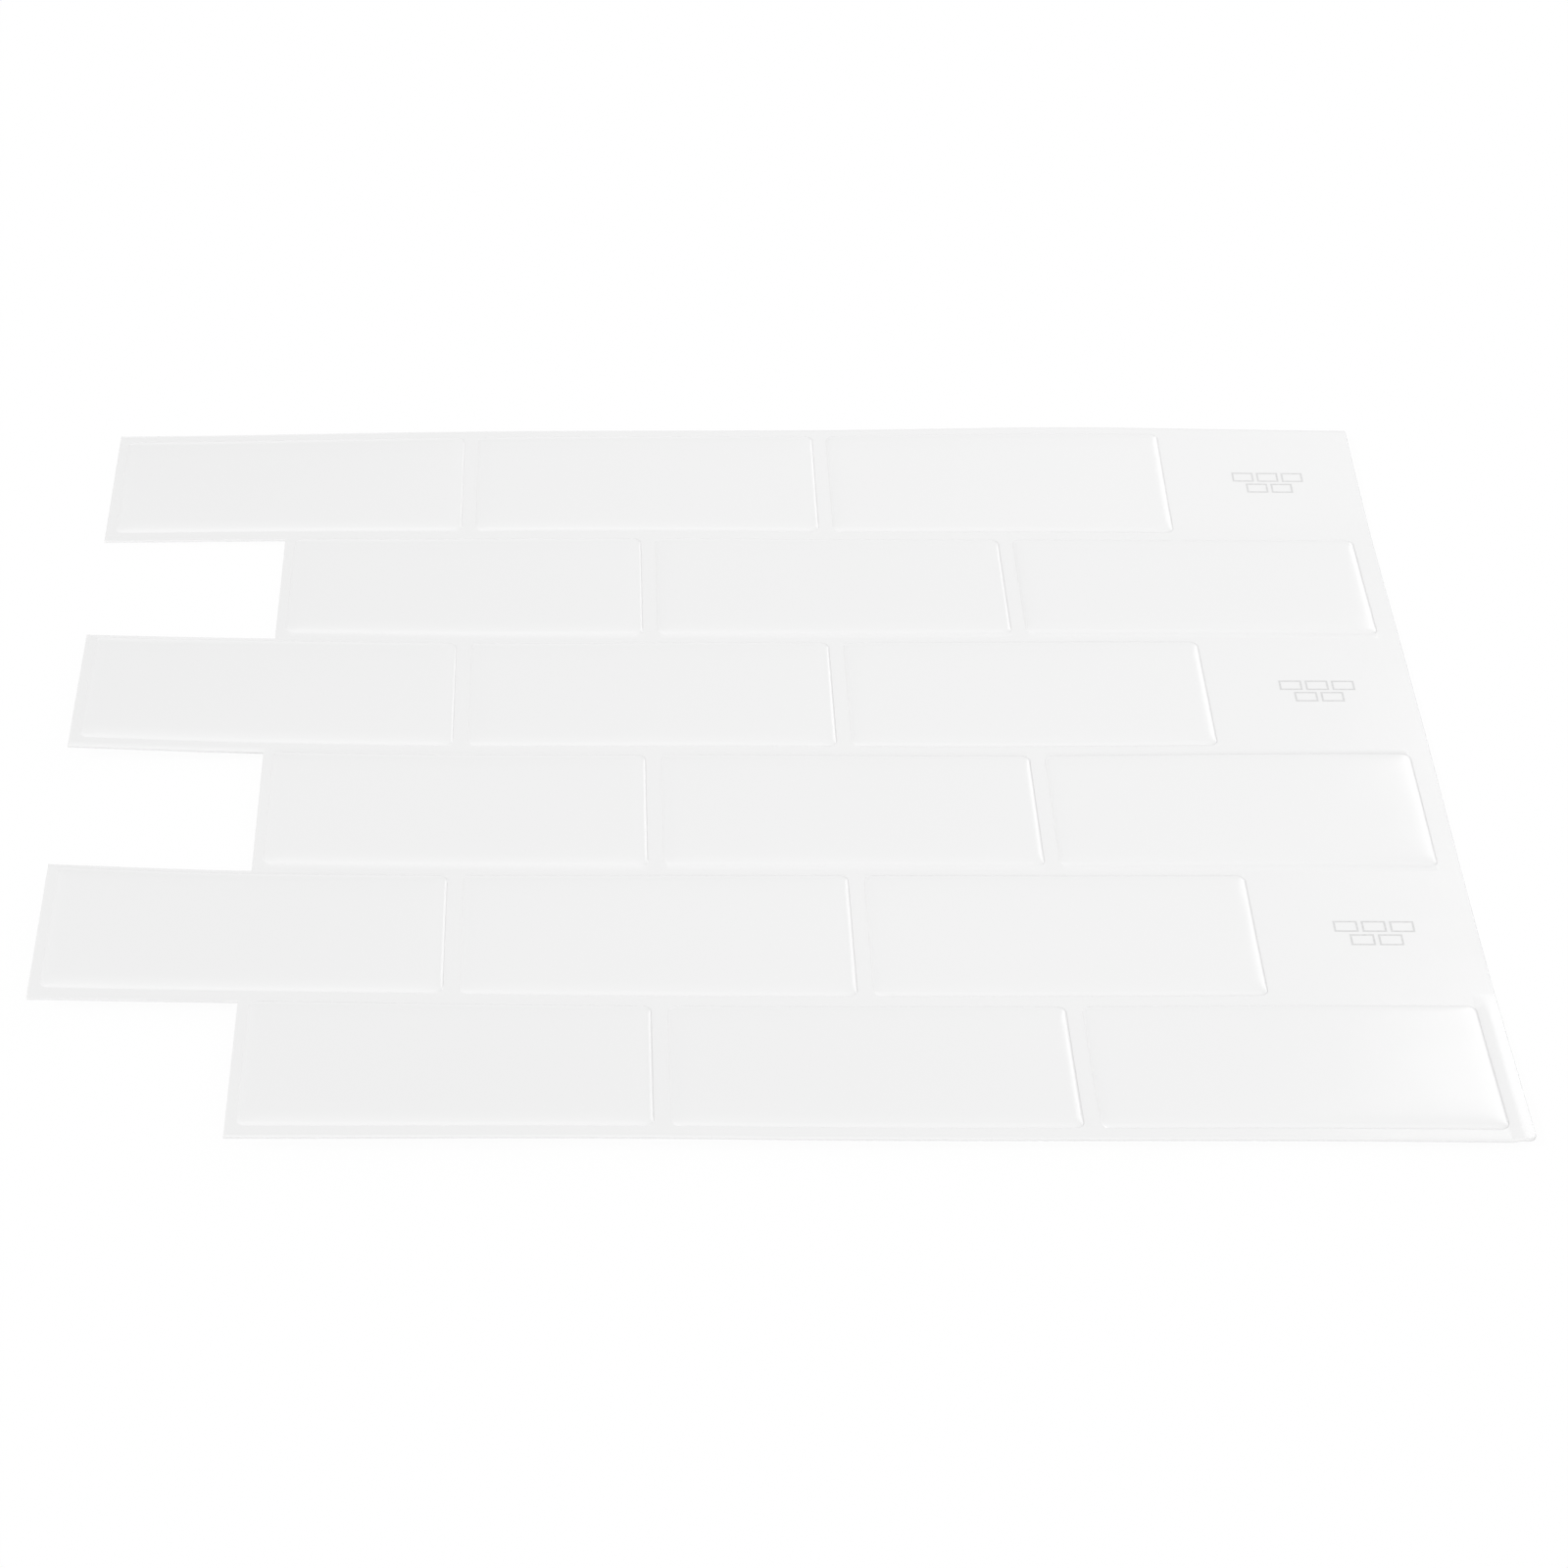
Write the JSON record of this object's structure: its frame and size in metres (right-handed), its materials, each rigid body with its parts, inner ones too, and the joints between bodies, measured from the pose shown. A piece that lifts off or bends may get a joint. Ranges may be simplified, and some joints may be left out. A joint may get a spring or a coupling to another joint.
{
  "type": "peel and stick backsplash tile",
  "caption": "Thin glossy white embossed vinyl sheet of raised subway tiles in running bond, with stepped left edge, flat overlap tabs at the right and an adhesive back.",
  "frame": {"origin": "middle of the sheet's box, on the adhesive back's plane", "axes": "+X along the rows towards the overlap tabs, +Y towards the far edge, where the first row has a tab, +Z out of the tiled face"},
  "size_m": [0.3602, 0.3082, 0.0014],
  "materials": {
    "gloss_vinyl": "gloss white moulded vinyl, slightly wavy"
  },
  "bodies": {
    "root": {"embossed_tile_sheet": "gloss_vinyl"}
  },
  "joints": []
}
